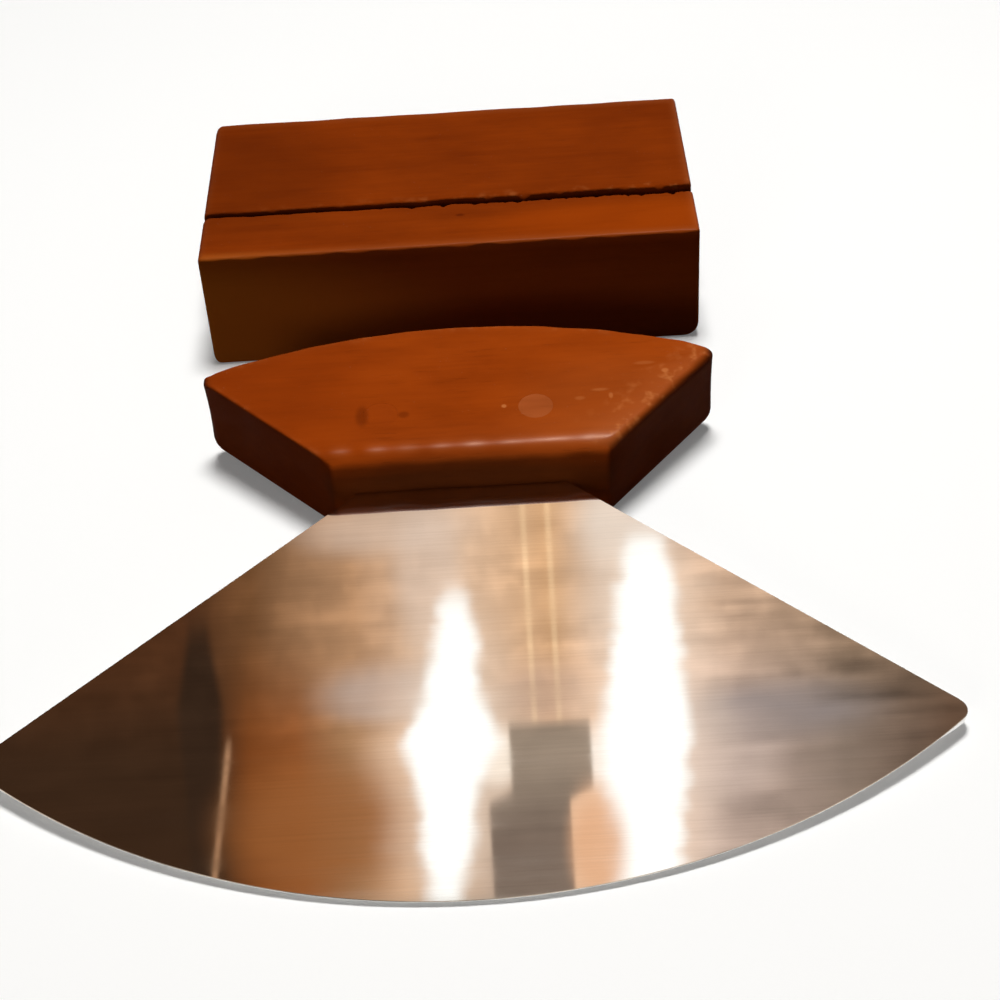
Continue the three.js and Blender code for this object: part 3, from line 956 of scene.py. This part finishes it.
def room_walls(tree, across, up, height):
    """The room's bands of colour, with a dark post, a slanted rail and two thin rods in front of them."""
    share = remap(tree, across, -CARD_WIDTH / 2, CARD_WIDTH / 2, kind="LINEAR")
    low_bands = ramp(tree, share, LOW_BANDS)
    high_bands = ramp(tree, share, HIGH_BANDS)
    colour = blend(tree, remap(tree, up, -0.06, 0.05), low_bands, high_bands)

    away = from_line(tree, across, up, -0.236, -0.03)
    beyond = calc(tree, "SUBTRACT", away, width_at(tree, height, POST_WIDTHS))
    post = calc(tree, "MULTIPLY", remap(tree, beyond, -0.004, 0.004, 1, 0), remap(tree, up, -0.075, -0.04))
    colour = blend(tree, post, colour, (0.035, 0.018, 0.01, 1))

    rail = remap(tree, from_line(tree, across, up, -0.2104, -0.16), 0.001, 0.003, 1, 0)
    rail = calc(tree, "MULTIPLY", rail, remap(tree, up, 0.025, 0.04))
    colour = blend(tree, calc(tree, "MULTIPLY", rail, 0.5), colour, (0.8, 0.45, 0.25, 1))

    for middle in (0.0154, 0.034):
        rod = remap(tree, from_line(tree, across, up, middle), 0.001, 0.003, 1, 0)
        rod = calc(tree, "MULTIPLY", rod, remap(tree, up, 0.026, 0.031, 1, 0))
        colour = blend(tree, calc(tree, "MULTIPLY", rod, 0.55), colour, (1, 0.7, 0.42, 1))
    return colour


def lamp_glow(tree, colour, away, half_width, ragged):
    """A white lamp with a warm halo, laid over a colour."""
    beyond = calc(tree, "ADD", calc(tree, "SUBTRACT", away, half_width), ragged)
    halo = remap(tree, beyond, -0.01, 0.045, 1, 0)
    halo = calc(tree, "MULTIPLY", halo, remap(tree, half_width, 0.004, 0.02))
    colour = blend(tree, calc(tree, "MULTIPLY", halo, 0.5), colour, (0.95, 0.77, 0.63, 1))
    core = remap(tree, beyond, -0.006, 0.008, 1, 0)
    core = calc(tree, "MULTIPLY", core, remap(tree, half_width, 0.002, 0.012))
    return blend(tree, core, colour, (1.1, 1.12, 1.11, 1))


def room_colour(tree):
    """What the card shows: streaked walls, hazes, two lamp glows, a grey door and a lit wall beside it."""
    place = tree.nodes.new("ShaderNodeTexCoord").outputs["Object"]
    axes = node(tree, "SeparateXYZ", {0: place}).outputs
    across = axes["X"]
    up = axes["Y"]
    height = remap(tree, up, -0.12, 0.16, kind="LINEAR")
    colour = room_walls(tree, across, up, height)

    streaks = noise(tree, vector(tree, "MULTIPLY", place, (0.06, 1, 1)), 150, 4, 0.65)
    contrast = calc(tree, "MULTIPLY", remap(tree, across, 0.1, 0.2, 0.6, 1.7), 2.2)
    streaks = calc(tree, "MULTIPLY_ADD", calc(tree, "SUBTRACT", streaks, 0.5), contrast, 1)
    mottle = noise(tree, vector(tree, "MULTIPLY", place, (0.6, 1, 1)), 42, 3, 0.6)
    mottle = remap(tree, mottle, 0.42, 0.62, -0.12, 0.12)
    mottle = calc(tree, "MULTIPLY_ADD", mottle, remap(tree, up, 0, 0.05, 1, 0.2), 1)
    shade = calc(tree, "MULTIPLY", streaks, mottle)
    shade = node(tree, "CombineXYZ", {0: shade, 1: shade, 2: shade}).outputs[0]
    colour = vector(tree, "MULTIPLY", colour, shade)

    for middle, reach, strength, tint in HAZES:
        haze = calc(tree, "MULTIPLY", soft_spot(tree, place, middle, reach), strength)
        haze = calc(tree, "MULTIPLY", haze, streaks)
        colour = blend(tree, haze, colour, (*tint, 1))

    ragged = noise(tree, vector(tree, "MULTIPLY", place, (0.35, 1, 1)), 70, 3, 0.6)
    ragged = calc(tree, "MULTIPLY_ADD", ragged, 0.03, -0.015)
    for middle, slant, half_widths in GLOWS:
        away = from_line(tree, across, up, middle, slant)
        colour = lamp_glow(tree, colour, away, width_at(tree, height, half_widths), ragged)

    door_middle = remap(tree, up, 0.078, 0.09, 0.026, 0.008)
    door = remap(tree, from_line(tree, across, up, door_middle), 0.029, 0.032, 1, 0)
    door = calc(tree, "MULTIPLY", door, remap(tree, up, 0.028, 0.032))
    door_colour = blend(tree, remap(tree, up, 0.05, 0.12), (0.3, 0.235, 0.18, 1), (0.19, 0.14, 0.11, 1))
    colour = blend(tree, door, colour, vector(tree, "MULTIPLY", door_colour, shade))
    lit_wall = soft_spot(tree, place, (0.058, 0.125, 0), (0.03, 0.06, 1))
    return blend(tree, calc(tree, "MULTIPLY", lit_wall, 0.85), colour, (0.76, 0.42, 0.24, 1))


def add_room_card():
    """A card above the stand with a warm room for the steel to mirror. It shows in reflections only."""
    card = flat_sheet("room_card", CARD_WIDTH, CARD_DEPTH)
    lean = math.radians(54)
    turn = Matrix(((1, 0, 0), (0, -math.sin(lean), -math.cos(lean)), (0, math.cos(lean), -math.sin(lean))))
    card.matrix_world = Matrix.Translation((0, 0.45, 0.93)) @ turn.to_4x4()
    card.visible_camera = False
    card.visible_diffuse = False
    card.visible_shadow = False
    material = bpy.data.materials.new("room_card")
    material.use_nodes = True
    tree = material.node_tree
    tree.nodes.clear()
    matt_bounces = tree.nodes.new("ShaderNodeLightPath").outputs["Diffuse Depth"]
    strength = calc(tree, "MULTIPLY", calc(tree, "LESS_THAN", matt_bounces, 0.5), 1.3)
    glow = node(tree, "Emission", {"Color": room_colour(tree), "Strength": strength})
    output = tree.nodes.new("ShaderNodeOutputMaterial")
    tree.links.new(glow.outputs[0], output.inputs["Surface"])
    card.data.materials.append(material)


def set_world():
    """A dim even sky that fills the shadows: pale to the eye, and a warm room in soft bands to a mirror."""
    world = bpy.data.worlds.new("sky")
    world.use_nodes = True
    tree = world.node_tree
    direction = tree.nodes.new("ShaderNodeTexCoord").outputs["Generated"]
    rise = node(tree, "SeparateXYZ", {0: direction}).outputs["Z"]
    bands = noise(tree, vector(tree, "MULTIPLY", direction, (1, 1, 0.4)), 2.4, 2)
    bands = remap(tree, bands, 0.36, 0.64, 0.35, 1.25)
    room = calc(tree, "MULTIPLY", remap(tree, rise, 0, 0.9, 0.7, 0.4), bands)
    path = tree.nodes.new("ShaderNodeLightPath").outputs
    no_matt_bounce = calc(tree, "LESS_THAN", path["Diffuse Depth"], 0.5)
    mirrored = calc(tree, "MULTIPLY", path["Is Glossy Ray"], no_matt_bounce)
    strength = node(tree, "Mix", {0: mirrored, 2: 0.035, 3: room}, data_type="FLOAT").outputs[0]
    strength = calc(tree, "MAXIMUM", strength, calc(tree, "MULTIPLY", path["Is Camera Ray"], 0.96))
    background = tree.nodes["Background"]
    colour = blend(tree, mirrored, (0.98, 0.99, 1, 1), (1, 0.84, 0.68, 1))
    tree.links.new(colour, background.inputs["Color"])
    tree.links.new(strength, background.inputs["Strength"])
    bpy.context.scene.world = world


add_camera()
add_floor()
add_lamp("key", (0.06, 0.06, 1.2), (0, -0.09, 0), 0.3, 0.3, 14.1, (1, 0.98, 0.95))
fill = add_lamp("fill", (-0.55, -1.2, 0.5), (0, -0.03, 0.02), 0.4, 0.3, 1.5, (1, 0.92, 0.8))
fill.visible_glossy = False
add_room_card()
set_world()
bpy.context.scene.view_settings.view_transform = "Standard"
